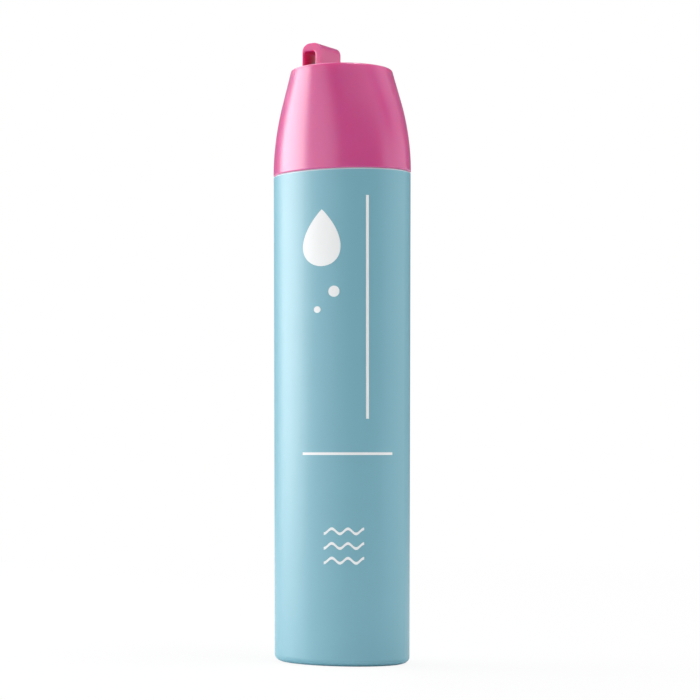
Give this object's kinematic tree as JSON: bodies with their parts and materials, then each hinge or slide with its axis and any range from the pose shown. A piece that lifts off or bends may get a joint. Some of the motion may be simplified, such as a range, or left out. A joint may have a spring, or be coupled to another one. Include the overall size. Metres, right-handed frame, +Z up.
{
  "type": "stain remover pen",
  "caption": "Oval pen-shaped bottle standing on its foot, with a spring-loaded roller ball head under a pull-off cap that rises to a flat round top with a lanyard loop.",
  "frame": {"origin": "centre of the foot, on the surface that the pen stands on", "axes": "+Z up the pen to the loop, X the long way across the oval with the loop on the -X side, Y the short way across"},
  "size_m": [0.027, 0.0192, 0.1133],
  "materials": {
    "barrel_plastic": "satin, with the print left bare",
    "cap_plastic": "soft gloss",
    "white_plastic": "natural moulded",
    "seal_rubber": "soft silicone",
    "ball_steel": "polished",
    "spring_steel": "drawn wire"
  },
  "bodies": {
    "barrel": {"barrel": "barrel_plastic", "neck_insert": "white_plastic", "seal_ring": "seal_rubber", "ball_housing": "white_plastic", "spring_retainer": "white_plastic", "valve_spring": "spring_steel"},
    "seat": {"ball_seat": "white_plastic"},
    "ball": {"roller_ball": "ball_steel"},
    "cap": {"cap_shell": "cap_plastic", "cap_liner": "white_plastic", "cap_seal_pad": "seal_rubber"}
  },
  "joints": [
    {"name": "cap_pull", "type": "slide", "parent": "barrel", "child": "cap", "axis": [0, 0, 1], "range_m": [0, 0.03]},
    {"name": "ball_press", "type": "slide", "parent": "barrel", "child": "seat", "axis": [0, 0, -1], "range_m": [0, 0.0008], "stiffness_N_per_m": 800, "springref_m": -0.001, "deforming": ["valve_spring"]},
    {"name": "ball_roll", "type": "hinge", "parent": "seat", "child": "ball", "pos_m": [0, 0, 0.10045], "axis": [1, 0, 0], "continuous": true}
  ]
}
